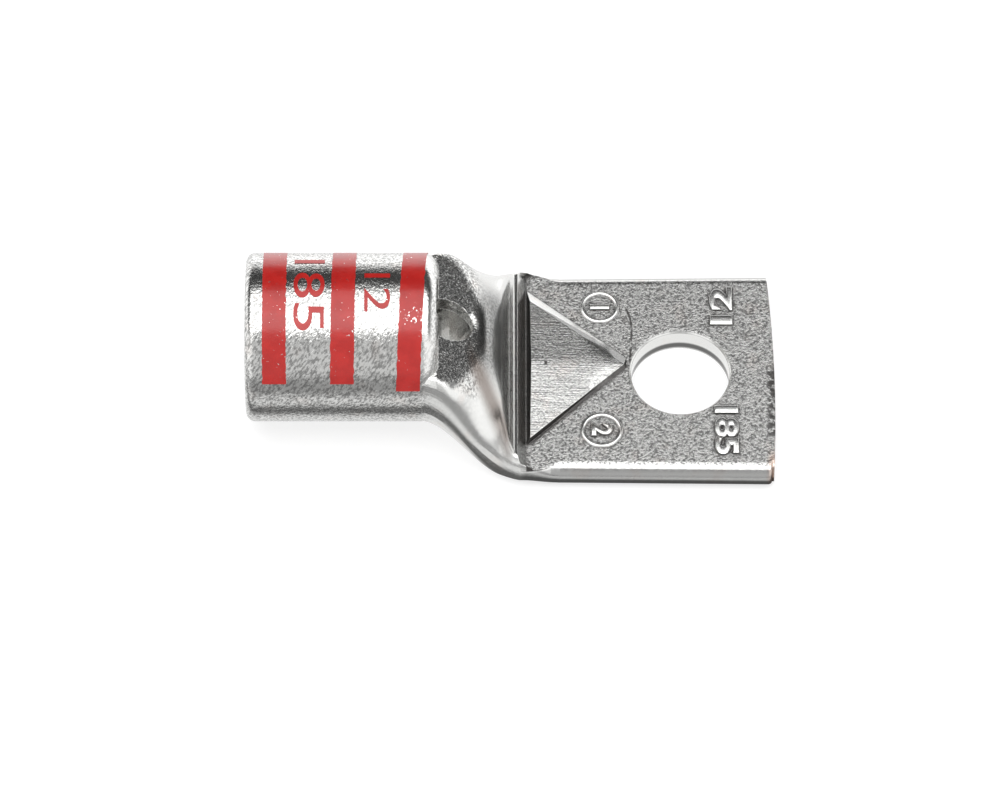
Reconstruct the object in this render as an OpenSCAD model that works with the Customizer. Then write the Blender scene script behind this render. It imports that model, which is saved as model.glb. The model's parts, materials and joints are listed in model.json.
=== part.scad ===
// Copper compression lug, tin plated: a tube with an open barrel for the cable, a neck where the
// tube is pressed down in a step, and a flat tongue with one stud hole.
// The origin is the centre of the stud hole on the underside of the tongue. +Z is up, the barrel
// lies toward -X. The lug is symmetrical about the plane Y = 0, apart from its gusset, the bow of
// its end and its bands.

/* [Barrel] */
// Outside diameter of the barrel
barrel_od = 22.9; // [20:0.1:25]
// Wall of the barrel
barrel_wall = 2.1; // [1.5:0.1:2.5]
// Length of the round barrel, from its mouth to the start of the shoulder
barrel_len = 23.9; // [22:0.1:45]
// Rounding of the outer edge of the mouth
mouth_round = 1.2; // [0.3:0.1:1.4]
// Bevel of the inner edge of the mouth, which leads the strands in
mouth_bevel = 0.4; // [0.1:0.1:0.5]

/* [Neck] */
// Rounding of the shoulder, where the barrel ends above the pressed step
shoulder_round = 2.2; // [1:0.1:3]
// Depth of the pressed step below the crown of the barrel
step_drop = 6.7; // [5:0.1:8]
// Length of the neck, from the step to the foot of the riser
neck_len = 11.8; // [10.5:0.1:16]
// Length of the gently sloping floor at the foot of the step
floor_len = 7.6; // [6.6:0.1:8]
// Slope of that floor, in degrees
floor_slope = 27; // [20:1:32]
// Height of the crest above the face of the tongue
crest_rise = 1.7; // [1:0.1:2.2]
// Width of the crest along the lug
crest_flat = 0.7; // [0.4:0.1:1]
// Width of the peep hole across the lug
peep_w = 6.6; // [4:0.1:8]
// Length of the peep hole along the lug
peep_len = 4.9; // [3.6:0.1:5]

/* [Tongue] */
// Width of the tongue where it leaves the neck
tongue_w = 33.1; // [31:0.1:36]
// How much wider the tongue is at its end
tongue_growth = 0.7; // [0:0.1:2]
// Thickness of the tongue, which is two layers of tube wall pressed flat
tongue_t = 3.8; // [3.4:0.1:4.4]
// Length of the tongue, from the foot of the riser to its end
tongue_len = 34.1; // [32:0.1:45]
// How far the middle of the end stands out beyond its corners
end_bow = 0.6; // [0.4:0.1:1.2]
// How far toward the front the bow stands out most
bow_shift = 4; // [0:0.5:6]
// Rounding of the two corners of the end
corner_round = 0.5; // [0.4:0.1:2]
// How far the underside of the tongue lies below the underside of the barrel
tongue_drop = 0.6; // [0.2:0.1:1]

/* [Stud hole] */
// Diameter of the stud hole
stud_d = 13.5; // [10:0.1:14.5]
// Bevel of the upper rim of the stud hole
stud_bevel = 0.35; // [0.1:0.05:0.6]
// Distance from the centre of the stud hole to the end of the tongue
stud_to_end = 12.9; // [11:0.1:14]

/* [Gusset] */
// Width of the raised triangle at the riser
gusset_w = 26.2; // [18:0.1:27]
// How far the die that pressed the triangle stood off the middle of the lug
gusset_shift = 0.9; // [-1:0.1:1]
// Height of the triangle along its ridge, at the riser
gusset_h = 1.35; // [0.9:0.05:1.5]
// Height of the triangle along its two sides, at the riser
gusset_edge = 1; // [0.4:0.05:1.2]
// Height of the triangle at its tip, beside the stud hole
gusset_tip = 0.6; // [0.2:0.05:0.8]
// Width of the gentle slope along the back of the triangle, at the riser
gusset_slope = 2.8; // [2:0.1:3.5]
// Width of the steep side along the front of the triangle
gusset_side = 0.3; // [0.2:0.05:0.6]
// Gap between the foot of the riser and the foot of the triangle
gusset_gap = 0.15; // [0.1:0.05:0.5]

/* [Colour bands] */
// Width of each printed band
band_w = 3.2; // [2:0.1:5]
// Distance from the mouth to the middle of the first band
band_first = 4; // [3:0.1:5]
// Distance between the middles of neighbouring bands
band_pitch = 9.3; // [6:0.1:9.5]
// Angle of the barrel that each band covers
band_angle = 138; // [60:2:170]
// Thickness of the ink
ink_t = 0.05; // [0.03:0.01:0.1]
// Skew of the second and third band, in degrees
band_skew = 1.2; // [0:0.1:2]

/* [Hidden] */

tin = "#c9cac8";
red_ink = "#be3228";

// Places along X, from the mouth of the barrel to the end of the tongue
end_x = stud_to_end;
riser_x = end_x - tongue_len;
step_x = riser_x - neck_len;
shoulder_x = step_x - shoulder_round;
mouth_x = shoulder_x - barrel_len;

// The riser leans back from its foot, and the crest is behind it
riser_lean = 1;
crest_x = riser_x - riser_lean;
knee_x = step_x + floor_len;
face_foot_x = crest_x - crest_flat;

// The loft starts this far inside the barrel, and this much smaller
seat = 0.3;
skin = 0.1;
// The cavity is this much narrower than the bore it opens from
seat_gap = 0.1;
// How far the shoulder reaches down into the loft at the foot of the step
step_seat = 0.5;
// What the flat faces of the tongue are trimmed by
trim = 0.03;

// Heights above the underside of the tongue
barrel_r = barrel_od / 2;
bore_r = barrel_r - barrel_wall;
axis_z = tongue_drop + barrel_r;
foot_z = tongue_drop + barrel_od - step_drop;
knee_z = foot_z - floor_len * tan(floor_slope);
crest_z = tongue_t + crest_rise;

// The steep face runs from the knee of the floor to the foot behind the crest
face_fall = (knee_z - crest_z) / (face_foot_x - knee_x);
face_slope = atan(face_fall);
// How softly the floor turns into the face, and the face into the crest
knee_soft = 3.5;
foot_soft = 2;

// The inner face of the step, and the least height at which the cavity ends
inner_step_x = step_x - barrel_wall;
slit = 0.3;

// Where the raised edges of the tongue have faded into its face
ear_len = 4.5;
ear_end_x = riser_x + ear_len;

$fn = 96;
// Points in the rounding of each lower and each upper corner of the neck
lower_n = 10;
upper_n = 12;
neck_step = 0.55;
// No section of a loft lies in the plane of a flat face, so that the two cross cleanly
off_plane = 0.2;
big = 60;

function mix(a, b, t) = a + (b - a) * t;
function share(x, x0, x1) = min(1, max(0, (x - x0) / (x1 - x0)));
function ease(t) = t * t * (3 - 2 * t);
function ramp(x, x0, x1) = ease(share(x, x0, x1));
function soft_min(a, b, k) = min(a, b) - pow(max(k - abs(a - b), 0), 2) / (4 * k);
function soft_max(a, b, k) = -soft_min(-a, -b, k);
function steps(x0, x1, gap) =
    let (n = max(1, ceil((x1 - x0) / gap)))
    [for (i = [0 : n - 1]) mix(x0, x1, i / n)];

// Half the width of the outside at x: the tube spreads as it is pressed flat
function spread(x) =
    let (t = share(x, shoulder_x, crest_x))
    mix(barrel_r - skin, tongue_w / 2, (3 * t + ease(t)) / 4);
function tongue_half(x) =
    tongue_w / 2 + tongue_growth / 2 * share(x, crest_x, end_x - end_bow);
// The two corners of the end are rounded in plan
function corner_cut(x) =
    let (d = x - (end_x - end_bow - corner_round))
    d <= 0 ? 0 : corner_round - sqrt(max(0, pow(corner_round, 2) - pow(min(d, corner_round), 2)));
function half_w(x) = (x < crest_x ? spread(x) : tongue_half(x)) - corner_cut(x);

// Underside and top of the outside at x
function under_z(x) = mix(tongue_drop + skin, -trim, ramp(x, shoulder_x, crest_x));
function floor_line(x) = foot_z - (x - step_x) * tan(floor_slope);
function face_line(x) = knee_z - (x - knee_x) * face_fall;
function neck_top(x) =
    soft_max(soft_min(floor_line(x), face_line(x), knee_soft), crest_z, foot_soft);
function ear_top(x) = mix(crest_z, tongue_t + trim, ramp(x, crest_x, ear_end_x));
function top_z(x) = x < crest_x ? neck_top(max(x, step_x - off_plane)) : ear_top(x);

// Share of the height that the lower corners may take: more than half while the tube is round
function fold_share(x) = mix(0.7, 0.5, ramp(x, step_x, crest_x));
// Radius of the lower corners: the round of the tube tightens into a fold
function fold_r(x) =
    min(
        mix(barrel_r - 1.5 * skin, tongue_t * 0.7, ramp(x, shoulder_x + 0.6, knee_x + 0.9)),
        (top_z(x) - under_z(x)) * fold_share(x)
    );
// How much wider than high the rounding of the upper corners is
function crown(x) =
    0.35 + 1.1 * ramp(x, step_x + shoulder_round / 2, knee_x) - ramp(x, knee_x, crest_x)
        + 0.7 * ramp(x, riser_x, ear_end_x);

// One closed section of the tube at x, from half width, heights and corner sizes
function section(x, half, low, high, r, wide) =
    let (
        mid = low + r,
        rise = high - mid,
        lower = [for (i = [0 : lower_n]) let (t = 90 * i / lower_n)
            [half - r + r * sin(t), mid - r * cos(t)]],
        upper = [for (i = [1 : upper_n]) let (t = 90 * i / upper_n)
            [half - wide + wide * cos(t), mid + rise * sin(t)]],
        right = concat(lower, upper),
        last = len(right) - 1
    )
    concat(
        [for (p = right) [x, p[0], p[1]]],
        [for (i = [0 : last]) [x, -right[last - i][0], right[last - i][1]]]
    );

function outer_ring(x) =
    let (rise = top_z(x) - under_z(x) - fold_r(x))
    section(x, half_w(x), under_z(x), top_z(x), fold_r(x), crown(x) * rise);

// The cavity keeps the wall of the tube inside the outside, and closes where the layers meet
function inner_low(x) = under_z(x) + mix(barrel_wall, tongue_t / 2, ramp(x, shoulder_x, crest_x));
function inner_high(x) =
    soft_min(
        floor_line(x) - barrel_wall / cos(floor_slope),
        face_line(x) - barrel_wall / cos(face_slope),
        knee_soft
    );
function inner_ring(x) =
    let (
        low = inner_low(x) + seat_gap / 2,
        high = inner_high(x),
        half = spread(x) - barrel_wall - seat_gap,
        r = min(fold_r(x) - barrel_wall, (high - low) * fold_share(x))
    )
    section(x, half, low, high, r, min(crown(x) * (high - low - r), half - 0.5));
// Where the cavity is only a slit high: the face line of the inside meets the lower layer
slit_x = knee_x + (knee_z - barrel_wall / cos(face_slope) - tongue_t / 2 - slit) / face_fall;

// A closed skin over rings of as many points each
module loft(rings) {
    n = len(rings[0]);
    m = len(rings);
    sides = [
        for (j = [0 : m - 2]) for (i = [0 : n - 1])
            let (k = (i + 1) % n, a = j * n, b = a + n)
            each [[a + i, b + k, a + k], [a + i, b + i, b + k]]
    ];
    near_cap = [for (i = [0 : n - 1]) i];
    far_cap = [for (i = [0 : n - 1]) m * n - 1 - i];
    polyhedron([for (ring = rings) each ring], concat(sides, [near_cap, far_cap]), convexity = 8);
}

// Turns a shape whose axis is Z so that its axis is the barrel's
module along_barrel(x) {
    translate([x, 0, axis_z])
        rotate([0, 90, 0])
            children();
}

// Half the section of the solid barrel, its edges rounded at the mouth and at the shoulder
module barrel_outline() {
    length = step_x - mouth_x;
    difference() {
        square([barrel_r, length]);
        translate([barrel_r - mouth_round, 0])
            difference() {
                translate([0, -1])
                    square([mouth_round + 1, mouth_round + 1]);
                translate([0, mouth_round])
                    circle(mouth_round);
            }
        translate([barrel_r - shoulder_round, length - shoulder_round])
            difference() {
                square(shoulder_round + 1);
                circle(shoulder_round);
            }
    }
}

// The barrel, with the part of its shoulder above the step
module barrel() {
    difference() {
        along_barrel(mouth_x)
            rotate_extrude()
                barrel_outline();
        translate([shoulder_x, -big / 2, -big])
            cube([big, big, big + foot_z - step_seat]);
    }
}

// The neck and the tongue, pressed out of one tube
module pressed_tube() {
    corner_x = end_x - end_bow - corner_round;
    loft([
        for (x = concat(
            [shoulder_x - seat],
            steps(shoulder_x + off_plane, step_x - off_plane, neck_step),
            steps(step_x - off_plane, crest_x, neck_step),
            steps(crest_x + off_plane, ear_end_x, 2 * neck_step),
            [ear_end_x + off_plane],
            [for (t = [0 : 18 : 90]) corner_x + corner_round * sin(t)],
            [end_x + seat]
        )) outer_ring(x)
    ]);
}

// What the die presses away: the flat face of the tongue, up to the riser and inside the ears
module coined_away() {
    ear = 0.6;
    inner = tongue_half(crest_x) - ear;
    reach = 1.05;
    top_x = riser_x - reach * riser_lean;
    intersection() {
        rotate([90, 0, 0])
            translate([0, 0, -big / 2])
                linear_extrude(big)
                    polygon([
                        [riser_x, tongue_t],
                        [big, tongue_t],
                        [big, big],
                        [top_x, big],
                        [top_x, tongue_t + reach * crest_rise]
                    ]);
        linear_extrude(big)
            polygon([
                [crest_x - 2, -inner],
                [crest_x, -inner],
                [ear_end_x, -inner - 1],
                [ear_end_x, -big],
                [big, -big],
                [big, big],
                [ear_end_x, big],
                [ear_end_x, inner + 1],
                [crest_x, inner],
                [crest_x - 2, inner]
            ]);
    }
}

// What is cut from the underside and, along a shallow bow, from the end
module trimmed_away() {
    half = tongue_w / 2 + tongue_growth / 2;
    bow_r = (pow(half, 2) + pow(end_bow, 2)) / (2 * end_bow);
    translate([knee_x, -big / 2, -big])
        cube([2 * big, big, big]);
    difference() {
        translate([end_x - end_bow - 1, -big / 2, -1])
            cube([big, big, big]);
        translate([end_x - bow_r, -bow_shift, -2])
            cylinder(r = bow_r, h = big + 2, $fn = 720);
    }
}

// The raised triangle that stiffens the root of the tongue. Its back slopes gently, its front and
// the side toward the riser are steep, and a low ridge runs along its top
module gusset() {
    sunk = 0.1;
    low_z = tongue_t - sunk;
    edge_h = gusset_edge + sunk;
    back = gusset_shift + gusset_w / 2;
    front = gusset_shift - gusset_w / 2;
    root_x = riser_x + gusset_gap;
    root_lean = 0.5;
    edge_x = root_x + root_lean;
    ridge_x = root_x + root_lean * (gusset_h + sunk) / edge_h;
    tip_x = -stud_d / 2 - stud_bevel - 0.25;
    tip_lean = 0.4;
    tip_slope = gusset_slope * (gusset_tip + sunk) / edge_h;
    polyhedron(
        [
            [root_x, front, low_z],
            [root_x, back, low_z],
            [tip_x, gusset_shift + tip_slope, low_z],
            [tip_x, gusset_shift - gusset_side, low_z],
            [edge_x, front + 2 * gusset_side, tongue_t + gusset_edge],
            [edge_x, back - gusset_slope, tongue_t + gusset_edge],
            [tip_x - tip_lean, gusset_shift, tongue_t + gusset_tip],
            [ridge_x, gusset_shift, tongue_t + gusset_h]
        ],
        [[0, 3, 2, 1], [0, 4, 6, 3], [2, 6, 5, 1], [2, 3, 6], [0, 1, 5, 7, 4], [4, 7, 6], [5, 6, 7]]
    );
}

// The round bore and the cavity that tapers under the neck until the two layers meet
module bore() {
    along_barrel(mouth_x - 1)
        cylinder(r = bore_r, h = inner_step_x - mouth_x + 1);
    along_barrel(mouth_x)
        cylinder(r1 = bore_r + mouth_bevel, r2 = bore_r, h = mouth_bevel);
    loft([
        for (x = concat(
            [inner_step_x - seat],
            steps(inner_step_x + off_plane, slit_x, 2 * neck_step),
            [slit_x]
        )) inner_ring(x)
    ]);
}

// A D-shaped window punched straight down at the foot of the step, to see the strands through
module peep_hole() {
    bite = 0.25;
    inside_z = (inner_low(knee_x) + inner_high(knee_x)) / 2;
    translate([step_x - bite, 0, inside_z])
        linear_extrude(big)
            intersection() {
                translate([peep_len - peep_w / 2, 0])
                    circle(d = peep_w);
                translate([0, -big / 2])
                    square(big);
            }
}

// The stud hole, with its upper rim bevelled
module stud_hole() {
    translate([0, 0, -1])
        cylinder(d = stud_d, h = tongue_t + 2);
    translate([0, 0, tongue_t - stud_bevel])
        cylinder(r1 = stud_d / 2, r2 = stud_d / 2 + 2 * stud_bevel, h = 2 * stud_bevel);
}

module lug() {
    color(tin)
        difference() {
            union() {
                barrel();
                difference() {
                    pressed_tube();
                    coined_away();
                    trimmed_away();
                }
                gusset();
            }
            bore();
            peep_hole();
            stud_hole();
        }
}

// One printed band: a thin coat on the upper side of the barrel
module ink_band(place) {
    skew = band_skew * place;
    color(red_ink)
        intersection() {
            along_barrel(mouth_x)
                linear_extrude(step_x - mouth_x)
                    intersection() {
                        difference() {
                            circle(barrel_r + ink_t);
                            circle(barrel_r);
                        }
                        polygon([
                            [0, 0],
                            big * [-cos(band_angle / 2), sin(band_angle / 2)],
                            big * [-1, 0],
                            big * [-cos(band_angle / 2), -sin(band_angle / 2)]
                        ]);
                    }
            translate([mouth_x + band_first + place * band_pitch, 0, 0])
                rotate([0, 0, -skew])
                    translate([-band_w / 2, -big / 2, 0])
                        cube([band_w, big, big]);
        }
}

module mouth_band() {
    ink_band(0);
}

module middle_band() {
    ink_band(1);
}

module neck_band() {
    ink_band(2);
}

lug();
mouth_band();
middle_band();
neck_band();
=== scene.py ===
# %% [markdown]
# # A copper cable lug, dressed in Blender
# A cable lug is a short piece of thick copper tube. One half stays round and takes the end of a
# cable. The other half is squashed flat, and a hole is punched in it for a bolt. The whole piece
# is then plated with tin and printed with coloured ink bands.
#
# The shape itself comes from the construction model, which is loaded as a fixed frame. This file
# gives that shape its finish: tin with the marks of the press, printed ink and raised numbers.

import json
import math

import bmesh
import bpy
from mathutils import Matrix, Vector, noise


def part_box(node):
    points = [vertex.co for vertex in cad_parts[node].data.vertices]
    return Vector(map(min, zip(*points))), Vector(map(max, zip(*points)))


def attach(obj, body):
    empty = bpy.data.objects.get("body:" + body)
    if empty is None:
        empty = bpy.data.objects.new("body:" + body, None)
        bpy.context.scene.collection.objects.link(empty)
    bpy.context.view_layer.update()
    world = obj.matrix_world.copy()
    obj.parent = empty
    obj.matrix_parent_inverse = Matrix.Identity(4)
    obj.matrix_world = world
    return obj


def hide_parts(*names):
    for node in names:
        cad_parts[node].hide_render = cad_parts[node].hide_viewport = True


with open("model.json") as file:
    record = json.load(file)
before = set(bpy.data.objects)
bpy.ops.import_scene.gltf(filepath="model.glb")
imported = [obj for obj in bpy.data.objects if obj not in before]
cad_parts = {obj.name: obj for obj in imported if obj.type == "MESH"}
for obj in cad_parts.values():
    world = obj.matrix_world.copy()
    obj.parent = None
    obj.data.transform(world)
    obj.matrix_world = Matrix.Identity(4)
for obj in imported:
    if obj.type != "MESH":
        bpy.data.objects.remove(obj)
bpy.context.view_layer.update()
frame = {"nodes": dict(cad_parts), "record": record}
MM = 0.001
MM_IN_METRE = 1000

# %% [markdown]
# ## Measures taken from the frame
# Nothing is placed by eye. The lug's own box and its holes give the places that are needed: the
# middle line of the barrel, its outside, and the two ends. Only the thickness of the tongue is
# written here. The origin is the centre of the bolt hole, on the underside of the tongue, and +X
# runs out along the tongue.

# %% Sizes and places
lug_low, lug_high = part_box("lug")
mounts = {mount["name"]: mount for mount in frame["record"]["mounts"]}
mouth_x, end_x = lug_low.x, lug_high.x
axis_z = mounts["barrel_bore"]["pos_m"][2]
barrel_radius = lug_high.z - axis_z
tongue_top = 3.8 * MM
print("barrel radius", round(barrel_radius / MM, 2), "mm, axis at", round(axis_z / MM, 2), "mm")

# %% [markdown]
# ## The camera
# A long lens from far away keeps parallel edges almost parallel, as in a catalogue. The camera
# stands in front of the lug and looks down on it at 55 degrees. It is placed by going back from
# the point that it looks at, so the angle and the distance stay easy to read.

# %% Camera
look_at = Vector((-24.66, -1.99, 0)) * MM
look_down = math.radians(55)
distance = 1.1

camera_data = bpy.data.cameras.new("camera")
camera_data.lens = 289
camera_data.sensor_width = 36
camera_data.clip_start = 0.01
camera = bpy.data.objects.new("camera", camera_data)
bpy.context.collection.objects.link(camera)
back = Vector((0, -math.cos(look_down), math.sin(look_down)))
camera.location = look_at + back * distance
camera.rotation_euler = (-back).to_track_quat("-Z", "Y").to_euler()
bpy.context.scene.camera = camera
bpy.context.scene.view_settings.view_transform = "Standard"
print("camera at", [round(v, 3) for v in camera.location])

# %% [markdown]
# ## Helpers for node trees
# Materials, the floor and the world are all node trees. Small helpers keep them readable: `put`
# adds a node and feeds its inputs, `calc` does a sum, `fade` makes a soft step and `blend` mixes
# two values. An input is given either a plain value or the output of another node.

# %% Node helpers
def put(tree, kind, inputs=None, **settings):
    """A new node, with its inputs fed and its settings made."""
    node = tree.nodes.new(kind)
    for name, value in settings.items():
        setattr(node, name, value)
    for key, value in (inputs or {}).items():
        if isinstance(value, bpy.types.NodeSocket):
            tree.links.new(value, node.inputs[key])
        else:
            node.inputs[key].default_value = value
    return node


def calc(tree, operation, *values):
    return put(tree, "ShaderNodeMath", dict(enumerate(values)), operation=operation).outputs[0]


def fade(tree, value, start, stop):
    """0 before start, 1 after stop, and a smooth step between them."""
    inputs = {"Value": value, "From Min": start, "From Max": stop}
    node = put(tree, "ShaderNodeMapRange", inputs, interpolation_type="SMOOTHSTEP")
    return node.outputs["Result"]


def blend(tree, factor, first, second):
    """A grey value between two others."""
    inputs = {"Factor": factor, "A": first, "B": second}
    return put(tree, "ShaderNodeMix", inputs, data_type="FLOAT").outputs["Result"]


def blend_colours(tree, factor, first, second, mode="MIX"):
    """The Mix node keeps its colour inputs at places 6 and 7 and its colour output at place 2."""
    node = put(tree, "ShaderNodeMix", data_type="RGBA", blend_type=mode)
    sockets = (node.inputs[0], node.inputs[6], node.inputs[7])
    for socket, value in zip(sockets, (factor, first, second)):
        if isinstance(value, bpy.types.NodeSocket):
            tree.links.new(value, socket)
        else:
            socket.default_value = value
    return node.outputs[2]


def grey(level):
    return (level, level, level, 1)


def new_tree(owner):
    owner.use_nodes = True
    owner.node_tree.nodes.clear()
    return owner.node_tree


print("node helpers ready")

# %% [markdown]
# ## The floor
# The lug lies on a white table. Seen by the camera the table is close to plain white, and the soft
# shadow under the lug still shows. The table lies a hair below the lug, because two faces in one
# plane would show through each other in patches.
#
# Metal is a mirror, so what matters more is how the table looks in the tin. A Light Path node tells
# the rays that come off shiny metal from all others, and only they see the table painted below. It
# is white under the lug and behind it, whiter still far behind, and white far out at both sides. A
# dim strip lies close in front, in the shade of the barrel, and beyond it the table turns grey.

# %% Floor
FLOOR_SIDE = 4.0
FLOOR_GAP = 0.02 * MM

floor_mesh = bpy.data.meshes.new("floor")
bm = bmesh.new()
bmesh.ops.create_grid(bm, x_segments=1, y_segments=1, size=FLOOR_SIDE / 2)
bm.to_mesh(floor_mesh)
bm.free()
floor = bpy.data.objects.new("floor", floor_mesh)
bpy.context.collection.objects.link(floor)
floor.location.z = -FLOOR_GAP
print("floor", FLOOR_SIDE, "m wide")

# %% [markdown]
# The places on the table are in millimetres, and each pair is the start and the end of a soft
# change from one brightness to the next.

# %% Paint of the floor
SHADE_EDGE = (-15.5, -11.5)
SHADE_FRONT = (-22.0, -18.0)
LIT_FRONT = (-36.0, -28.0)
LUG_FRONT = (-8, 0)
FAR_BEHIND = (35, 75)
FAR_ASIDE = (80, 200)
TABLE_FAR_FRONT = 0.34
TABLE_FRONT = 0.85
TABLE_IN_SHADE = 0.12
TABLE_BEFORE_LUG = 0.85
TABLE_BEHIND_LUG = 1.05
TABLE_FAR_BEHIND = 1.55
TABLE_ASIDE = 1.15
FLOOR_PAINT = 0.42
FLOOR_GLOW = 0.66

floor_paint = bpy.data.materials.new("white_table")
tree = new_tree(floor_paint)
rays = put(tree, "ShaderNodeLightPath").outputs
place = put(tree, "ShaderNodeTexCoord").outputs["Object"]
spot = put(tree, "ShaderNodeSeparateXYZ", {0: place}).outputs
across = calc(tree, "MULTIPLY", spot["Y"], MM_IN_METRE)
aside = calc(tree, "ABSOLUTE", calc(tree, "MULTIPLY", spot["X"], MM_IN_METRE))
further = blend(tree, fade(tree, across, *LIT_FRONT), TABLE_FAR_FRONT, TABLE_FRONT)
in_front = blend(tree, fade(tree, across, *SHADE_FRONT), further, TABLE_IN_SHADE)
behind = blend(tree, fade(tree, across, *FAR_BEHIND), TABLE_BEHIND_LUG, TABLE_FAR_BEHIND)
white_part = blend(tree, fade(tree, across, *LUG_FRONT), TABLE_BEFORE_LUG, behind)
in_tin = blend(tree, fade(tree, across, *SHADE_EDGE), in_front, white_part)
in_tin = blend(tree, fade(tree, aside, *FAR_ASIDE), in_tin, TABLE_ASIDE)
paint = put(tree, "ShaderNodeBsdfDiffuse", {"Color": grey(FLOOR_PAINT)}).outputs[0]
glow = put(tree, "ShaderNodeEmission", {"Color": grey(1), "Strength": FLOOR_GLOW}).outputs[0]
seen = put(tree, "ShaderNodeAddShader", {0: paint, 1: glow}).outputs[0]
mirrored = put(tree, "ShaderNodeEmission", {"Color": grey(1), "Strength": in_tin}).outputs[0]
shown = put(tree, "ShaderNodeMixShader", {0: rays["Is Glossy Ray"], 1: seen, 2: mirrored})
put(tree, "ShaderNodeOutputMaterial", {"Surface": shown.outputs[0]})
floor.data.materials.append(floor_paint)
print("material", floor_paint.name, "has", len(tree.nodes), "nodes")

# %% [markdown]
# ## The light
# Shiny metal shows what stands round it, so the light is chosen for its reflection. A wide soft
# box hangs over the lug and gives the barrel its broad bright band. Its back edge hangs just where
# the flat tongue mirrors it, so every small dent of the tongue turns either light or dark.

# %% Soft box
SOFT_BOX_HEIGHT = 0.9
SOFT_BOX_BACK = math.radians(31)
SOFT_BOX_FRONT = math.radians(27)
SOFT_BOX_LENGTH = 1.6
SOFT_BOX_BRIGHTNESS = 2.0

back_edge = SOFT_BOX_HEIGHT * math.tan(SOFT_BOX_BACK)
front_edge = -SOFT_BOX_HEIGHT * math.tan(SOFT_BOX_FRONT)
box_data = bpy.data.lights.new("soft_box", "AREA")
box_data.shape = "RECTANGLE"
box_data.size = SOFT_BOX_LENGTH
box_data.size_y = back_edge - front_edge
box_data.energy = SOFT_BOX_BRIGHTNESS * math.pi * box_data.size * box_data.size_y
soft_box = bpy.data.objects.new("soft_box", box_data)
soft_box.location = (look_at.x, (back_edge + front_edge) / 2, SOFT_BOX_HEIGHT)
bpy.context.collection.objects.link(soft_box)
print("soft box", round(box_data.size, 2), "by", round(box_data.size_y, 2), "m")
print("power", round(box_data.energy, 1), "W")

# %% [markdown]
# ## The room
# The room is a world shader that looks at the direction of a ray. Behind the lug the white table
# runs on up to a low line, and the room above it is dark. White boards stand at both sides and in
# the two front corners, and in front the room is a middle grey that gets darker higher up. The
# camera itself sees plain white in every direction.
#
# Two numbers say where a ray goes. Its height is its Z, from 0 at the horizon to 1 straight up. Its
# heading is 1 when it goes straight back, 0 when it goes to a side and -1 when it comes forward.

# %% Room
ROOM_FRONT = 0.68
ROOM_FRONT_HIGH = 0.5
ROOM_SIDES = 1.2
ROOM_CORNERS = 1.15
ROOM_ABOVE_SIDES = 0.16
ROOM_BACK = 0.05
TABLE_LINE = (0.16, 0.24)
BOARD_TOP = (0.3, 0.5)
FRONT_DARKENS = (0.45, 0.75)
HEADING_BACK = (0.35, 0.55)
HEADING_SIDE = (-0.5, -0.3)
HEADING_CORNER = (-0.985, -0.92)

world = bpy.data.worlds.new("room")
bpy.context.scene.world = world
tree = new_tree(world)
direction = put(tree, "ShaderNodeTexCoord").outputs["Generated"]
ray = put(tree, "ShaderNodeSeparateXYZ", {0: direction}).outputs
up = ray["Z"]
flat_length = calc(tree, "SQRT", calc(tree, "SUBTRACT", 1.0, calc(tree, "POWER", up, 2.0)))
heading = calc(tree, "DIVIDE", ray["Y"], calc(tree, "MAXIMUM", flat_length, 0.001))
over_table = blend(tree, fade(tree, up, *TABLE_LINE), TABLE_FAR_BEHIND, ROOM_BACK)
boards = blend(tree, fade(tree, up, *BOARD_TOP), ROOM_SIDES, ROOM_ABOVE_SIDES)
sides = blend(tree, fade(tree, heading, *HEADING_BACK), boards, over_table)
round_to_side = blend(tree, fade(tree, heading, *HEADING_SIDE), ROOM_CORNERS, sides)
front = blend(tree, fade(tree, up, *FRONT_DARKENS), ROOM_FRONT, ROOM_FRONT_HIGH)
room = blend(tree, fade(tree, heading, *HEADING_CORNER), front, round_to_side)
is_camera = put(tree, "ShaderNodeLightPath").outputs["Is Camera Ray"]
strength = blend(tree, is_camera, room, 1.0)
light = put(tree, "ShaderNodeBackground", {"Color": grey(1), "Strength": strength})
put(tree, "ShaderNodeOutputWorld", {"Surface": light.outputs[0]})
print("room light", ROOM_FRONT, "in front,", ROOM_SIDES, "at the sides and", ROOM_BACK, "behind")

# %% [markdown]
# ## Working in millimetres
# Blender's unit is the metre, and the grain of this lug is finer than half a millimetre. Object
# coordinates multiplied by a thousand count in millimetres, so a noise with scale 2 has two bumps
# in each millimetre. The group below also gives the three coordinates one by one.

# %% Millimetre group
def new_group(name, inputs, outputs):
    """An empty node group. Inputs are name, kind and value, and outputs are name and kind."""
    group = bpy.data.node_groups.new(name, "ShaderNodeTree")
    for label, kind, value in inputs:
        socket = group.interface.new_socket(label, in_out="INPUT", socket_type="NodeSocket" + kind)
        if value is not None:
            socket.default_value = value
    for label, kind in outputs:
        group.interface.new_socket(label, in_out="OUTPUT", socket_type="NodeSocket" + kind)
    return group


def group_ends(group, results):
    """Wires the results to the group's outputs of the same names."""
    for label, socket in results.items():
        end = next(n for n in group.nodes if n.type == "GROUP_OUTPUT")
        group.links.new(socket, end.inputs[label])


def use(tree, group, **inputs):
    """Puts a group into a tree and gives back its outputs."""
    node = tree.nodes.new("ShaderNodeGroup")
    node.node_tree = group
    for key, value in inputs.items():
        label = key.replace("_", " ").capitalize()
        if isinstance(value, bpy.types.NodeSocket):
            tree.links.new(value, node.inputs[label])
        else:
            node.inputs[label].default_value = value
    return node.outputs


def speckle(tree, place, scale, detail=2.0, roughness=0.5):
    """A noise between 0 and 1."""
    inputs = {"Vector": place, "Scale": scale, "Detail": detail, "Roughness": roughness}
    return put(tree, "ShaderNodeTexNoise", inputs).outputs["Fac"]


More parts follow.
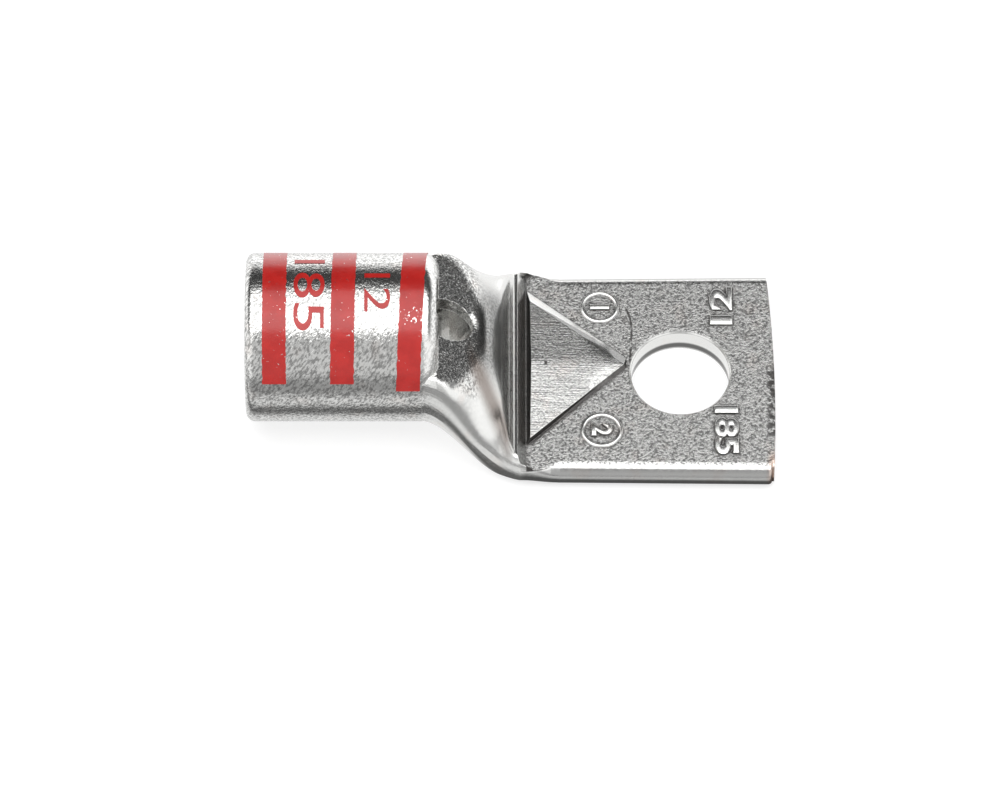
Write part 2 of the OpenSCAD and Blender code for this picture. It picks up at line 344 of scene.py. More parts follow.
def calc_vector(tree, operation, first, second):
    node = put(tree, "ShaderNodeVectorMath", {0: first, 1: second}, operation=operation)
    return node.outputs["Value" if operation == "DISTANCE" else "Vector"]


millimetres = new_group(
    "millimetres", [], [("Place", "Vector"), ("X", "Float"), ("Y", "Float"), ("Z", "Float")])
put(millimetres, "NodeGroupOutput")
here = put(millimetres, "ShaderNodeTexCoord").outputs["Object"]
scaled = calc_vector(millimetres, "MULTIPLY", here, (MM_IN_METRE, MM_IN_METRE, MM_IN_METRE))
parts = put(millimetres, "ShaderNodeSeparateXYZ", {0: scaled}).outputs
group_ends(millimetres, {"Place": scaled, "X": parts["X"], "Y": parts["Y"], "Z": parts["Z"]})
print("group", millimetres.name, "has", len(millimetres.nodes), "nodes")

# %% [markdown]
# ## Tumbled skin
# After forming, lugs are shaken in a drum with small stones until the burrs are gone. The stones
# leave shallow dents all over the outside. Two noises give that skin: broad dents about half a
# millimetre across, and a fine grain on top. Most stones slid past in one direction, so the grain
# is drawn out along it: a share of each point's distance in that direction is taken away. The
# group puts out a height for a Bump node and a tone that lightens and darkens the metal.

# %% Tumbled skin group
STROKE_DIRECTION = (0.5, 0.5, 0.71)
STROKE_DRAWN = (0.6, 0.6, 0.6)
BROAD_SHARE = 0.6
FINE_SHARE = 0.4
FLECK_LIMITS = (0.38, 0.60)

tumbled_skin = new_group(
    "tumbled_skin",
    [("Place", "Vector", None), ("Dents", "Float", 2.2), ("Grain", "Float", 5.0),
     ("Flecks", "Float", 3.2)],
    [("Height", "Float"), ("Tone", "Float")],
)
ends = put(tumbled_skin, "NodeGroupInput").outputs
put(tumbled_skin, "NodeGroupOutput")
ahead = calc_vector(tumbled_skin, "PROJECT", ends["Place"], STROKE_DIRECTION)
squeeze = calc_vector(tumbled_skin, "MULTIPLY", ahead, STROKE_DRAWN)
strokes = calc_vector(tumbled_skin, "SUBTRACT", ends["Place"], squeeze)
broad = speckle(tumbled_skin, ends["Place"], ends["Dents"])
fine = speckle(tumbled_skin, strokes, ends["Grain"], roughness=0.6)
broad_part = calc(tumbled_skin, "MULTIPLY", broad, BROAD_SHARE)
fine_part = calc(tumbled_skin, "MULTIPLY", fine, FINE_SHARE)
height = calc(tumbled_skin, "ADD", broad_part, fine_part)
flecks = speckle(tumbled_skin, strokes, ends["Flecks"], detail=3.0, roughness=0.65)
tone = fade(tumbled_skin, flecks, *FLECK_LIMITS)
group_ends(tumbled_skin, {"Height": height, "Tone": tone})
print("group", tumbled_skin.name, "has", len(tumbled_skin.nodes), "nodes")

# %% [markdown]
# ## Die lines
# The steel die that strikes the triangle was ground along the lug. Its fine grinding lines are
# pressed into the tin. They are a noise whose coordinates are squeezed along X, so that each dot
# of the noise is drawn out into a line.

# %% Die lines group
LINE_STRETCH = (0.12, 5.0, 1.0)
LINE_LIMITS = (0.38, 0.5)

die_lines = new_group(
    "die_lines", [("Place", "Vector", None)], [("Height", "Float"), ("Tone", "Float")])
ends = put(die_lines, "NodeGroupInput").outputs
put(die_lines, "NodeGroupOutput")
drawn = calc_vector(die_lines, "MULTIPLY", ends["Place"], LINE_STRETCH)
line = speckle(die_lines, drawn, 1.0, detail=1.0)
group_ends(die_lines, {"Height": line, "Tone": fade(die_lines, line, *LINE_LIMITS)})
print("group", die_lines.name, "has", len(die_lines.nodes), "nodes")

# %% [markdown]
# ## Masks
# One material dresses the whole lug, and masks tell it which part of the lug it is on. A mask is a
# number between 0 and 1 that is worked out from the place on the lug, in millimetres. `inside` is 1
# between two limits. Masks that are multiplied give 1 only where all of them are 1.

# %% Mask helpers
def inside(tree, value, limits, soft):
    """1 between the two limits, 0 outside, with soft borders."""
    low, high = limits
    rising = fade(tree, value, low - soft, low + soft)
    falling = fade(tree, value, high + soft, high - soft)
    return calc(tree, "MULTIPLY", rising, falling)


def all_of(tree, first, *others):
    """1 where every mask is 1."""
    result = first
    for mask in others:
        result = calc(tree, "MULTIPLY", result, mask)
    return result


def part_of(tree, mask, share):
    """A mask made weaker, so that it lets only a share of its effect through."""
    return calc(tree, "MULTIPLY", mask, share)


def any_of(tree, first, second):
    """The stronger of two masks."""
    return calc(tree, "MAXIMUM", first, second)


print("mask helpers ready")

# %% [markdown]
# ## The parts of the lug
# From the mouth to the end of the tongue the lug has a barrel, a neck with a sunk floor, a knee
# where that floor turns down, a steep riser and a flat tongue. On the tongue are a raised triangle,
# whose far side is a gentle slope, and the bolt hole. Each of them gets a mask, and so do the
# corner under the riser and a low band in the bolt hole, which are both given painted shade. Some
# masks also ask which way the surface faces.

# %% Parts of the lug
BARREL_END = -33.6
RISER_TOP = -22.1
RISER_FOOT = -21.0
TONGUE_TOP = tongue_top / MM
HOLE_RADIUS = mounts["stud_hole"]["dims"]["r_mm"]
NECK_X = (-32.3, -25.2)
NECK_Z = (6.0, 8.0)
PEEP_HOLE_END = (-28.9, -28.3)
PEEP_HOLE_HALF = (4.0, 4.6)
FLOOR_X = (BARREL_END, -27.5)
FLOOR_Y = (-11.2, -10.0)
FLOOR_Z = (11.5, 13.5)
KNEE_X = (-27.6, -24.2)
KNEE_Y = (-6.5, 8.0)
KNEE_Z = (8.5, 10.5)
STEEP_X = (RISER_TOP, -7.0)
RIDGE_X = (-19.6, -9.6)
RIDGE_Y = (-2.6, 4.4)
# The heights of the low band in the bolt hole that gets painted shade.
HOLE_SHADE_Z = (0.2, 1.3)


def parts_at(tree, at, facing):
    """The masks of the lug's parts, by name."""
    x, y, z = at["X"], at["Y"], at["Z"]
    on = {"barrel": fade(tree, x, BARREL_END + 0.2, BARREL_END - 2.6)}

    on["floor"] = all_of(
        tree, inside(tree, x, FLOOR_X, 1.0), fade(tree, z, *FLOOR_Z), fade(tree, y, *FLOOR_Y))
    beside_peep_hole = fade(tree, calc(tree, "ABSOLUTE", y), *PEEP_HOLE_HALF)
    clear_of_peep_hole = any_of(tree, fade(tree, x, *PEEP_HOLE_END), beside_peep_hole)
    on["neck"] = all_of(
        tree, clear_of_peep_hole, inside(tree, x, NECK_X, 0.3), fade(tree, z, *NECK_Z))
    on["knee"] = all_of(
        tree, inside(tree, x, KNEE_X, 0.8), fade(tree, z, *KNEE_Z), inside(tree, y, KNEE_Y, 3.0))

    past_riser = fade(tree, x, RISER_TOP, RISER_FOOT)
    on["edge"] = all_of(tree, past_riser, fade(tree, z, TONGUE_TOP - 0.2, TONGUE_TOP - 0.4))
    on["face"] = all_of(tree, past_riser, fade(tree, z, TONGUE_TOP - 0.25, TONGUE_TOP - 0.05))
    raised = fade(tree, z, TONGUE_TOP + 0.03, TONGUE_TOP + 0.12)
    on["triangle"] = all_of(tree, on["face"], raised)
    on["slope"] = all_of(tree, on["triangle"], fade(tree, facing["Y"], 0.2, 0.3))
    on["ridge"] = all_of(
        tree, inside(tree, x, RIDGE_X, 0.8), inside(tree, y, RIDGE_Y, 1.2), on["triangle"])
    steep = all_of(tree, fade(tree, facing["Z"], 0.66, 0.56), inside(tree, x, STEEP_X, 0.1))
    on["corner"] = all_of(tree, steep, fade(tree, z, TONGUE_TOP - 0.15, TONGUE_TOP))

    across_hole = calc(tree, "ADD", calc(tree, "POWER", x, 2.0), calc(tree, "POWER", y, 2.0))
    from_hole = calc(tree, "SQRT", across_hole)
    within_hole = fade(tree, from_hole, HOLE_RADIUS + 0.12, HOLE_RADIUS + 0.04)
    on["hole"] = all_of(tree, within_hole, fade(tree, facing["Z"], 0.5, 0.3))
    # Painted shade: a band low in the wall of the bolt hole.
    on["torn"] = all_of(tree, on["hole"], inside(tree, z, HOLE_SHADE_Z, 0.25))
    return on


print("the bolt hole is", 2 * HOLE_RADIUS, "mm wide")

# %% [markdown]
# ## Marks of use
# The sheared end of the tongue is a shallow bow, so its distance is measured from a wide circle. A
# ragged burr lies along it. A dark arc runs beside the bolt hole, and the triangle has one nick.
# The noise breaks up the arc and the burr. In the neck a brown stain follows the fold of the metal,
# which is a slanted line when it is seen from above.

# %% Marks of use
END = end_x / MM
END_BOW_RADIUS = 238.0
END_BOW_MIDDLE = -4.0
BURR_DEEP = (1.3, 0.7)
BURR_Y = (-11.0, 1.0)
BURR_RAGGED = (0.44, 0.52)
ARC_X = -6.6
ARC_Y = (1.5, 10.8)
ARC_TURN = 7.0
ARC_BEND = 0.055
ARC_LEAN = 0.05
ARC_WIDE = (0.22, 0.06)
ARC_BROKEN = (0.36, 0.5)
NICK_X = (-18.6, -18.2)
NICK_Y = (0.4, 1.1)
FOLD_SLANT = (0.845, 0.535)
FOLD_PLACE = 27.0
FOLD_WIDE = (2.2, 0.2)
FOLD_X = (-29.0, -23.3)
FOLD_Z = (4.0, 6.0)


def from_end(tree, x, y):
    """Millimetres back from the bowed end of the tongue."""
    off_middle = calc(tree, "POWER", calc(tree, "SUBTRACT", y, END_BOW_MIDDLE), 2.0)
    bow = calc(tree, "DIVIDE", off_middle, 2 * END_BOW_RADIUS)
    return calc(tree, "SUBTRACT", calc(tree, "SUBTRACT", END, x), bow)


def struck_marks(tree, x, y, place):
    """The dark arc beside the hole, the sheared end of the tongue and one nick in the triangle."""
    above = calc(tree, "MAXIMUM", calc(tree, "SUBTRACT", y, ARC_TURN), 0.0)
    below = calc(tree, "MAXIMUM", calc(tree, "SUBTRACT", ARC_TURN, y), 0.0)
    curved = calc(tree, "MULTIPLY", calc(tree, "POWER", above, 2.0), ARC_BEND)
    leaning = calc(tree, "MULTIPLY", below, ARC_LEAN)
    straightened = calc(tree, "ADD", x, calc(tree, "ADD", curved, leaning))
    off_arc = calc(tree, "ABSOLUTE", calc(tree, "SUBTRACT", straightened, ARC_X))
    broken = fade(tree, speckle(tree, place, 0.8, detail=3.0), *ARC_BROKEN)
    arc = all_of(tree, fade(tree, off_arc, *ARC_WIDE), inside(tree, y, ARC_Y, 0.5), broken)

    ragged = fade(tree, speckle(tree, place, 1.3, detail=3.0), *BURR_RAGGED)
    along_end = fade(tree, from_end(tree, x, y), *BURR_DEEP)
    burr = all_of(tree, along_end, inside(tree, y, BURR_Y, 1.2), ragged)
    nick = all_of(tree, inside(tree, x, NICK_X, 0.12), inside(tree, y, NICK_Y, 0.2))
    return any_of(tree, arc, any_of(tree, burr, nick))


def fold_stain(tree, x, y, z):
    """1 along the fold of the neck."""
    slant_x, slant_y = FOLD_SLANT
    along_x, along_y = calc(tree, "MULTIPLY", x, slant_x), calc(tree, "MULTIPLY", y, slant_y)
    from_line = calc(tree, "ADD", calc(tree, "ADD", along_x, along_y), FOLD_PLACE)
    off_fold = calc(tree, "ABSOLUTE", from_line)
    on_line = fade(tree, off_fold, *FOLD_WIDE)
    return all_of(tree, on_line, inside(tree, x, FOLD_X, 0.7), fade(tree, z, *FOLD_Z))


print("the tongue ends at", round(END, 1), "mm")

# %% [markdown]
# ## Relief of the tin
# A Bump node tilts the shading where a height changes, so flat metal looks dented. The barrel and
# the floor of the neck keep their tumbled skin, the sides of the neck are smooth, and the tongue
# is grainy like sandpaper.
#
# The Bevel node rounds the shading of sharp edges without moving a point. Its radius is different
# from place to place: a narrow one on most edges, and wide ones on the neck, on the steep face
# above the tongue and on the ridge of the triangle, which the press has left soft.

# %% Relief of the tin
EDGE_ROUND = 0.12 * MM
NECK_ROUND = 1.5 * MM
FACE_ROUND = 0.6 * MM
RIDGE_ROUND = 3.0 * MM
STEEP_FACE_X = (-25.2, -22.5)
DENT_DEPTH = 0.09 * MM
NECK_DENTED = 0.16
BARREL_DENTED = 0.85
FLOOR_DENTED = 1.1
FACE_DENTED = 0.9
TRIANGLE_DENTED = 0.55
SLOPE_DENTED = 0.1
HOLE_DENTED = 0.08
LINES_IN_TRIANGLE = 0.3
RUBBED_SMOOTH = 0.75


def relief_of_tin(tree, at, on, skin, lines, sand, rubbed):
    """The normal of the dented tin with rounded edges."""
    dented = blend(tree, on["barrel"], NECK_DENTED, BARREL_DENTED)
    dented = blend(tree, on["floor"], dented, FLOOR_DENTED)
    dented = blend(tree, on["face"], dented, FACE_DENTED)
    dented = blend(tree, on["triangle"], dented, TRIANGLE_DENTED)
    dented = blend(tree, on["slope"], dented, SLOPE_DENTED)
    dented = blend(tree, on["hole"], dented, HOLE_DENTED)
    height = blend(tree, on["face"], skin["Height"], sand)
    height = blend(tree, part_of(tree, on["triangle"], LINES_IN_TRIANGLE), height, lines["Height"])

    on_steep_face = inside(tree, at["X"], STEEP_FACE_X, 0.1)
    radius = blend(tree, on_steep_face, EDGE_ROUND, FACE_ROUND)
    radius = blend(tree, on["neck"], radius, NECK_ROUND)
    radius = blend(tree, on["ridge"], radius, RIDGE_ROUND)
    rounded = put(tree, "ShaderNodeBevel", {"Radius": radius}, samples=8).outputs[0]
    strength = part_of(tree, dented, 1 - RUBBED_SMOOTH * rubbed)
    return put(tree, "ShaderNodeBump", {
        "Height": height, "Strength": strength, "Distance": DENT_DEPTH, "Normal": rounded,
    }).outputs[0]


print("edges look", EDGE_ROUND / MM, "mm round, and the neck", NECK_ROUND / MM, "mm")

# %% [markdown]
# ## Tone of the tin
# The tone makes the tin lighter or darker. A pair of tones is what a noise moves between: the first
# where the noise is low, the second where it is high. Dark flecks lie on the barrel, on the floor
# of the neck and on the knee, and dark grains all over the tongue.

# %% Tone of the tin
BARREL_TONES = (0.42, 1.1)
FLOOR_TONES = (0.34, 1.1)
KNEE_TONES = (0.26, 0.42)
FACE_TONES = (0.25, 0.74)
LINE_TONES = (0.78, 1.0)
STRUCK_TONES = (0.72, 1.0)
EDGE_TONE = 0.66
SLOPE_TONE = 0.95
HOLE_TONE = 0.95
# Painted shade: the low band in the bolt hole is painted almost black.
HOLE_SHADE_TONE = 0.16
FACE_GRAINS = (0.38, 0.54)
STRUCK_GRAINS = (0.38, 0.5)
TRIANGLE_STRUCK = 0.9


def tone_of_tin(tree, on, skin, lines, sand, rubbed):
    tone = blend(tree, on["barrel"], 1.0, blend(tree, skin["Tone"], *BARREL_TONES))
    tone = blend(tree, on["floor"], tone, blend(tree, skin["Tone"], *FLOOR_TONES))
    tone = blend(tree, on["knee"], tone, blend(tree, skin["Tone"], *KNEE_TONES))
    tone = blend(tree, on["edge"], tone, EDGE_TONE)
    grains = fade(tree, sand, *FACE_GRAINS)
    tone = blend(tree, on["face"], tone, blend(tree, grains, *FACE_TONES))
    lined = blend(tree, lines["Tone"], *LINE_TONES)
    struck_grains = blend(tree, fade(tree, sand, *STRUCK_GRAINS), *STRUCK_TONES)
    struck = all_of(tree, lined, struck_grains)
    tone = blend(tree, part_of(tree, on["triangle"], TRIANGLE_STRUCK), tone, struck)
    tone = blend(tree, on["slope"], tone, SLOPE_TONE)
    tone = blend(tree, on["hole"], tone, HOLE_TONE)
    # Painted shade in the low band of the bolt hole.
    tone = blend(tree, on["torn"], tone, HOLE_SHADE_TONE)
    return blend(tree, rubbed, tone, 1.0)


print("tones from", HOLE_SHADE_TONE, "to", BARREL_TONES[1])

# %% [markdown]
# ## Painted shade and grime
# The colour is painted darker where shade would fall. The Ambient Occlusion node tells how much
# open sky a point sees within a short reach, so it is low in the corners beside raised strokes, and
# there the colour is painted dark as shade. Painted shade also fills the corner under the riser,
# and grime fills the marks of the press.

# %% Painted shade and grime
CORNER_REACH = 0.8 * MM
TONGUE_STARTS = (-21.3, -21.1)
CORNER_STARTS = (-21.2, -21.0)
CREVICE_SKY = (0.98, 0.72)
# How strong the painted shade is in the corner under the riser and in crevices, and the grime in
# the marks.
CORNER_SHADE = 0.93
CREVICE_SHADE = 0.85
MARK_GRIME = 0.85
SLOPE_UNSHADED = 0.85


def shade_and_grime_on_tin(tree, at, on, rubbed):
    x = at["X"]
    # Painted shade: the less open sky a point sees, the darker its colour is painted.
    open_sky = put(
        tree, "ShaderNodeAmbientOcclusion", {"Distance": CORNER_REACH}, samples=4).outputs["AO"]
    unshaded = any_of(tree, on["hole"], part_of(tree, on["slope"], SLOPE_UNSHADED))
    crevice_shade = all_of(
        tree, fade(tree, x, *TONGUE_STARTS), calc(tree, "SUBTRACT", 1.0, unshaded),
        fade(tree, open_sky, *CREVICE_SKY))
    # Painted shade on the steep sides in the corner under the riser.
    in_corner = blend(tree, fade(tree, x, *CORNER_STARTS), 0.0, CORNER_SHADE)
    corner = all_of(tree, on["corner"], in_corner)
    shade_and_grime = any_of(tree, part_of(tree, corner, 1 - rubbed), part_of(tree, crevice_shade, CREVICE_SHADE))
    if rubbed:
        return shade_and_grime
    # Grime in the struck marks.
    marks = all_of(tree, on["face"], struck_marks(tree, x, at["Y"], at["Place"]))
    return any_of(tree, shade_and_grime, part_of(tree, marks, MARK_GRIME))


print("grime reaches", round(CORNER_REACH / MM, 1), "mm out of a corner")

# %% [markdown]
# ## Tinned copper
# Now the parts come together. The colour starts as tin with a faint warm cloud where it is worn
# thin. The tone is multiplied in, then come the painted shade in the corners with the grime in the
# marks, bare copper at one corner of the end, and the stain in the fold. The strokes of the raised
# numbers get the same tin, only rubbed: smoother, evenly light and without the marks.

# %% Tinned copper
TIN = (0.80, 0.80, 0.785, 1)
COPPER_TINT = (0.78, 0.62, 0.54, 1)
BARE_COPPER = (0.60, 0.36, 0.25, 1)
# The dark colour of both the painted shade and the grime.
SHADE_AND_GRIME_COLOUR = (0.055, 0.05, 0.048, 1)
RESIDUE = (0.20, 0.155, 0.13, 1)
WORN_LIMITS = (0.52, 0.72)
WORN_TINT = 0.15
BARE_DEEP = (1.3, 0.2)
BARE_Y = (-12.5, -14.5)
BARE_SHARE = 0.45
RESIDUE_SHARE = 0.75
SKIN_ROUGH = (0.24, 0.15)
FACE_ROUGH = 0.24


def colour_of_tin(tree, at, tone, shade_and_grime):
    x, y, z = at["X"], at["Y"], at["Z"]
    worn = fade(tree, speckle(tree, at["Place"], 0.35, detail=3.0), *WORN_LIMITS)
    colour = blend_colours(tree, part_of(tree, worn, WORN_TINT), TIN, COPPER_TINT)
    shade = blend_colours(tree, tone, grey(0), grey(1))
    colour = blend_colours(tree, 1.0, colour, shade, "MULTIPLY")
    # Painted shade and grime darken the colour here.
    colour = blend_colours(tree, shade_and_grime, colour, SHADE_AND_GRIME_COLOUR)
    bare = all_of(tree, fade(tree, from_end(tree, x, y), *BARE_DEEP), fade(tree, y, *BARE_Y))
    colour = blend_colours(tree, part_of(tree, bare, BARE_SHARE), colour, BARE_COPPER)
    stain = part_of(tree, fold_stain(tree, x, y, z), RESIDUE_SHARE)
    return blend_colours(tree, stain, colour, RESIDUE)


def tinned_copper(name, rubbed):
    """The tin of the lug, or where rubbed is 1 the smoother tin of a raised stroke."""
    material = bpy.data.materials.new(name)
    tree = new_tree(material)
    at = use(tree, millimetres)
    skin = use(tree, tumbled_skin, place=at["Place"])
    lines = use(tree, die_lines, place=at["Place"])
    sand = speckle(tree, at["Place"], 3.0, detail=3.0, roughness=0.7)
    normal = put(tree, "ShaderNodeNewGeometry").outputs["Normal"]
    facing = put(tree, "ShaderNodeSeparateXYZ", {0: normal}).outputs
    on = parts_at(tree, at, facing)

    tone = tone_of_tin(tree, on, skin, lines, sand, rubbed)
    shade_and_grime = shade_and_grime_on_tin(tree, at, on, rubbed)
    rough = blend(tree, on["face"], blend(tree, skin["Tone"], *SKIN_ROUGH), FACE_ROUGH)
    shader = put(tree, "ShaderNodeBsdfPrincipled", {
        "Base Color": colour_of_tin(tree, at, tone, shade_and_grime), "Metallic": 1.0, "Roughness": rough,
        "Normal": relief_of_tin(tree, at, on, skin, lines, sand, rubbed)})
    put(tree, "ShaderNodeOutputMaterial", {"Surface": shader.outputs[0]})
    print("material", material.name, "has", len(tree.nodes), "nodes")
    return material


tin = tinned_copper("tinned_copper", 0.0)
raised_tin = tinned_copper("raised_tin", 1.0)

# %% [markdown]
# ## Red ink
# The bands are printed with a thin marking ink. It is glossy, follows the dents of the barrel, and
# has small chips where the bare tin shows through. A chip is a spot of noise that lies above a
# high limit, so only the rare highest peaks of the noise become chips. One spot near the neck is
# rubbed: there the noise is raised a little, so more of its peaks pass the limit.

# %% Red ink
INK = (0.37, 0.009, 0.007, 1)
INK_CLOUD = (0.43, 0.013, 0.010, 1)
INK_CLOUDS = (0.35, 0.65)
INK_BUMP = 0.3
CHIP_LIMITS = (0.69, 0.705)
RUBBED_SPOT = (-36.2, -4.2, 22.7)
RUBBED_WIDE = (2.0, 0.3)
RUBBED_THIN = 0.10


def red_ink():
    material = bpy.data.materials.new("red_ink")
    tree = new_tree(material)
    place = use(tree, millimetres)["Place"]
    skin = use(tree, tumbled_skin, place=place)
    from_rub = calc_vector(tree, "DISTANCE", place, RUBBED_SPOT)
    thin = calc(tree, "MULTIPLY", fade(tree, from_rub, *RUBBED_WIDE), RUBBED_THIN)
    worn = calc(tree, "ADD", speckle(tree, place, 2.4, detail=3.0, roughness=0.6), thin)
    chips = fade(tree, worn, *CHIP_LIMITS)
    cloudy = fade(tree, speckle(tree, place, 0.5, detail=3.0), *INK_CLOUDS)
    colour = blend_colours(tree, chips, blend_colours(tree, cloudy, INK, INK_CLOUD), TIN)
    bump = put(tree, "ShaderNodeBump", {
        "Height": skin["Height"], "Strength": INK_BUMP, "Distance": DENT_DEPTH})
    shader = put(tree, "ShaderNodeBsdfPrincipled", {
        "Base Color": colour, "Metallic": chips, "Roughness": blend(tree, chips, 0.3, 0.2),
        "Coat Weight": 0.3, "Coat Roughness": 0.12, "Normal": bump.outputs[0]})
    put(tree, "ShaderNodeOutputMaterial", {"Surface": shader.outputs[0]})
    print("material", material.name, "has", len(tree.nodes), "nodes")
    return material


ink = red_ink()

# %% [markdown]
# ## The lug itself
# The construction model's own mesh is used as it is. It carries exact normals from the solid, so
# its flat faces shade flat and its curved ones shade round. All it needs is the tin.

# %% Lug
lug = frame["nodes"]["lug"]
lug.data.materials.clear()
lug.data.materials.append(tin)
print("lug dressed in", tin.name)

# %% [markdown]
# ## Adding a piece
# The marks that come next are pieces of their own. This helper turns a finished bmesh into a named
# piece that rides with the lug. Faces shade smooth, and edges with a turn of 28 degrees or more
# stay crisp.

# %% Piece helper
CRISP = math.radians(28)


def add_piece(name, bm, material):
    bmesh.ops.recalc_face_normals(bm, faces=bm.faces)
    for face in bm.faces:
        face.smooth = True
    for edge in bm.edges:
        edge.smooth = len(edge.link_faces) == 2 and edge.calc_face_angle() < CRISP
    mesh = bpy.data.meshes.new(name)
    bm.to_mesh(mesh)
    bm.free()
    piece = bpy.data.objects.new(name, mesh)
    bpy.context.collection.objects.link(piece)
    mesh.materials.append(material)
    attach(piece, "root")
    print(name, "has", len(mesh.vertices), "points and", len(mesh.polygons), "faces")
    return piece


print("crisp from", round(math.degrees(CRISP)), "degrees")

# %% [markdown]
# ## Printed bands
# A printing wheel rolls three bands round the front of the barrel. Each band starts as a small
# flat rectangle on the barrel, which is spun round the barrel's middle line. Its two sides are
# then moved a little by a noise, because printed edges are never quite straight. The band by the
# neck went on a little askew, so it leans and reaches further down.

# %% Bands
INK_THICK = 0.04 * MM
BAND_WIDTH = 3.2 * MM
BAND_CENTRES = (4.0 * MM, 13.3 * MM, 22.6 * MM)
BAND_LEANS = (0.0, -0.012, -0.04)
BAND_TOP = math.radians(69)
BAND_BOTTOMS = (math.radians(69), math.radians(69), math.radians(75))
BAND_STEPS = 160
RAGGED = 0.10 * MM
RAGGED_OFTEN = 1.3
OTHER_SIDE = 7
QUARTER_TURN = math.radians(90)
barrel_axis = Vector((0, 0, axis_z))


def turn_shape(bm, angle, axis, centre=(0, 0, 0)):
    """Turns every point of a bmesh about one axis."""
    turned = Matrix.Rotation(angle, 3, axis)
    bmesh.ops.rotate(bm, verts=bm.verts, cent=centre, matrix=turned)


def printed_band(name, node, from_mouth, lean, bottom):
    bm = bmesh.new()
    bmesh.ops.create_grid(bm, x_segments=1, y_segments=1, size=0.5)
    turn_shape(bm, QUARTER_TURN, "X")
    bmesh.ops.scale(bm, verts=bm.verts, vec=(BAND_WIDTH, 1, INK_THICK))
    middle = Vector((mouth_x + from_mouth, 0, axis_z + barrel_radius + INK_THICK / 2))
    bmesh.ops.translate(bm, verts=bm.verts, vec=middle)
    turn_shape(bm, -BAND_TOP, "X", barrel_axis)
    bmesh.ops.spin(
        bm, geom=bm.faces[:], cent=barrel_axis, axis=(1, 0, 0), angle=BAND_TOP + bottom,
        steps=BAND_STEPS)
    for vert in bm.verts:
        around = math.atan2(-vert.co.y, vert.co.z - axis_z)
        side = 1 if vert.co.x > middle.x else -1
        along_edge = around * barrel_radius / MM * RAGGED_OFTEN
        wander = noise.noise(Vector((from_mouth / MM + side * OTHER_SIDE, along_edge, 0)))
        vert.co.x += wander * RAGGED + lean * around * barrel_radius
    piece = add_piece(name, bm, ink)
    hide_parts(node)


BAND_NAMES = ("band_by_the_mouth", "band_in_the_middle", "band_by_the_neck")
BAND_NODES = ("mouth_band", "middle_band", "neck_band")
for band in zip(BAND_NAMES, BAND_NODES, BAND_CENTRES, BAND_LEANS, BAND_BOTTOMS):
    printed_band(*band)

# %% [markdown]
# ## Numbers
# The printed and the struck numbers are plain sizes. Both start as a text curve, which Blender
# turns into a mesh. The text is then fitted into a box, so that its height and width are known
# whatever the font. Raised numbers get a rounded thickness from the curve itself.

# %% Text helper
SAME_POINT = 0.0001


def text_shape(words, height, width, thick=0.0, soft=0.0):
    """A bmesh of the words, centred on the origin, with its height and width in metres."""
    curve = bpy.data.curves.new("words", "FONT")
    curve.body = words
    curve.align_x, curve.align_y = "CENTER", "CENTER"
    curve.resolution_u = 6
    curve.extrude, curve.bevel_depth, curve.bevel_resolution = thick, soft, 2
    words_object = bpy.data.objects.new("words", curve)
    bpy.context.collection.objects.link(words_object)
    shown_words = words_object.evaluated_get(bpy.context.evaluated_depsgraph_get())
    mesh = bpy.data.meshes.new_from_object(shown_words)
    bm = bmesh.new()
    bm.from_mesh(mesh)
    bpy.data.objects.remove(words_object)
    bpy.data.meshes.remove(mesh)
    bmesh.ops.remove_doubles(bm, verts=bm.verts, dist=SAME_POINT)
    low = Vector([min(vert.co[i] for vert in bm.verts) for i in range(3)])
    high = Vector([max(vert.co[i] for vert in bm.verts) for i in range(3)])
    bmesh.ops.translate(bm, verts=bm.verts, vec=-(low + high) / 2)
    wider, taller = width / (high.x - low.x), height / (high.y - low.y)
    bmesh.ops.scale(bm, verts=bm.verts, vec=(wider, taller, taller))
    print(words, "fits", round(width / MM, 1), "by", round(height / MM, 1), "mm")
    return bm


print("text helper ready")

# %% [markdown]
# ## Numbers printed on the barrel
# The flat numbers are cut by a row of planes, so that they have points enough to bend, and are
# then wrapped round the barrel. Their reading direction runs round the barrel, towards the front.

# %% Printed numbers
CUTS = 24
CUT_REACH = 1e-7
NUMBER_THICK = 0.03 * MM


def printed_number(name, words, from_mouth, height, first, last):
    """Numbers whose line runs round the barrel from angle first to angle last."""
    length = (last - first) * barrel_radius
    bm = text_shape(words, height, length)
    for i in range(1, CUTS):
        cut = Vector((length * (i / CUTS - 0.5), 0, 0))
        everything = bm.verts[:] + bm.edges[:] + bm.faces[:]
        bmesh.ops.bisect_plane(
            bm, geom=everything, dist=CUT_REACH, plane_co=cut, plane_no=(1, 0, 0))
    radius = barrel_radius + NUMBER_THICK
    middle = (first + last) / 2
    for vert in bm.verts:
        around = middle + vert.co.x / barrel_radius
        along = mouth_x + from_mouth + vert.co.y
        vert.co = Vector((along, -radius * math.sin(around), axis_z + radius * math.cos(around)))
    bmesh.ops.recalc_face_normals(bm, faces=bm.faces)
    bmesh.ops.solidify(bm, geom=bm.faces[:], thickness=-NUMBER_THICK)
    add_piece(name, bm, ink)


CABLE_SIZE_TURN = (math.radians(-30), math.radians(31))
STUD_SIZE_TURN = (math.radians(-13), math.radians(18))
printed_number("printed_cable_size", "185", 8.7 * MM, 4.2 * MM, *CABLE_SIZE_TURN)
printed_number("printed_stud_size", "12", 17.9 * MM, 3.5 * MM, *STUD_SIZE_TURN)

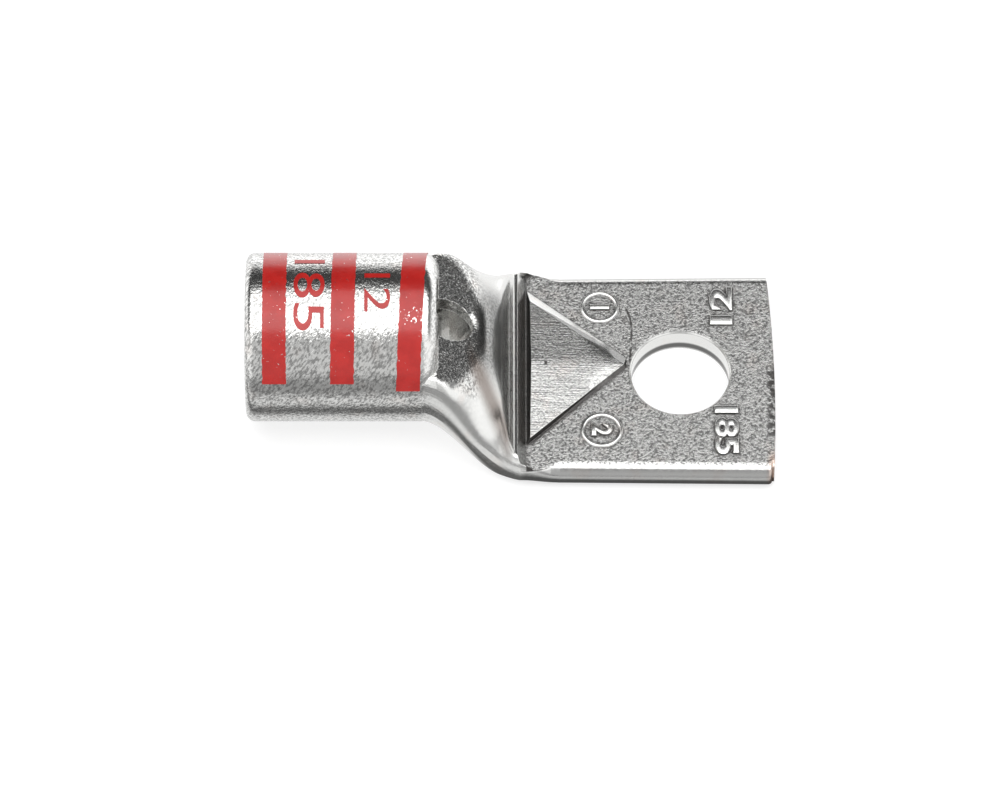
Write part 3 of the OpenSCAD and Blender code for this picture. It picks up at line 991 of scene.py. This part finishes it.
# %% [markdown]
# ## Numbers struck into the tongue
# The die has numbers and two round marks cut into it, and the copper that flows into them stands
# up as soft raised strokes. They get the rubbed tin. Their thickness is a share of the letters'
# own size, because it is set before the text is fitted into its box.

# %% Raised numbers
STROKE_THICK = 0.02
STROKE_SOFT = 0.065


def set_down(bm, turn, x, y, sink):
    """Turns a flat shape about Z and lays it on the tongue, its middle sunk below the face."""
    turn_shape(bm, math.radians(turn), "Z")
    bmesh.ops.translate(bm, verts=bm.verts, vec=(x, y, tongue_top - sink))


def raised_number(name, words, turn, x, y, height, width):
    bm = text_shape(words, height, width, thick=STROKE_THICK, soft=STROKE_SOFT)
    set_down(bm, turn, x, y, 0.0)
    add_piece(name, bm, raised_tin)


raised_number("raised_stud_size", "12", 90, 5.7 * MM, 11.1 * MM, 3.2 * MM, 6.5 * MM)
raised_number("raised_cable_size", "185", -90, 6.2 * MM, -9.7 * MM, 3.4 * MM, 8.2 * MM)

# %% [markdown]
# ## Round marks
# Each round mark is a raised ring with a plain number in it. The ring is a small circle that is
# spun all the way round into a doughnut and sunk into the tongue, so only its upper part shows.

# %% Round marks
RING_WIRE = 0.38 * MM
RING_SUNK = 0.16 * MM
RING_NUMBER_SHARE = 0.5


def round_mark(name, words, x, y, across, words_width):
    bm = bmesh.new()
    bmesh.ops.create_circle(bm, cap_ends=False, segments=12, radius=RING_WIRE)
    turn_shape(bm, QUARTER_TURN, "X")
    bmesh.ops.translate(bm, verts=bm.verts, vec=(across / 2 - RING_WIRE, 0, 0))
    bmesh.ops.spin(
        bm, geom=bm.edges[:], cent=(0, 0, 0), axis=(0, 0, 1), angle=math.tau, steps=64,
        use_merge=True)
    set_down(bm, 0, x, y, RING_SUNK)
    add_piece(name, bm, raised_tin)
    raised_number(name + "_number", words, -90, x, y, across * RING_NUMBER_SHARE, words_width)


round_mark("far_mark", "1", -10.96 * MM, 10.9 * MM, 5.5 * MM, 0.9 * MM)
round_mark("near_mark", "2", -10.8 * MM, -9.67 * MM, 5.9 * MM, 2.1 * MM)
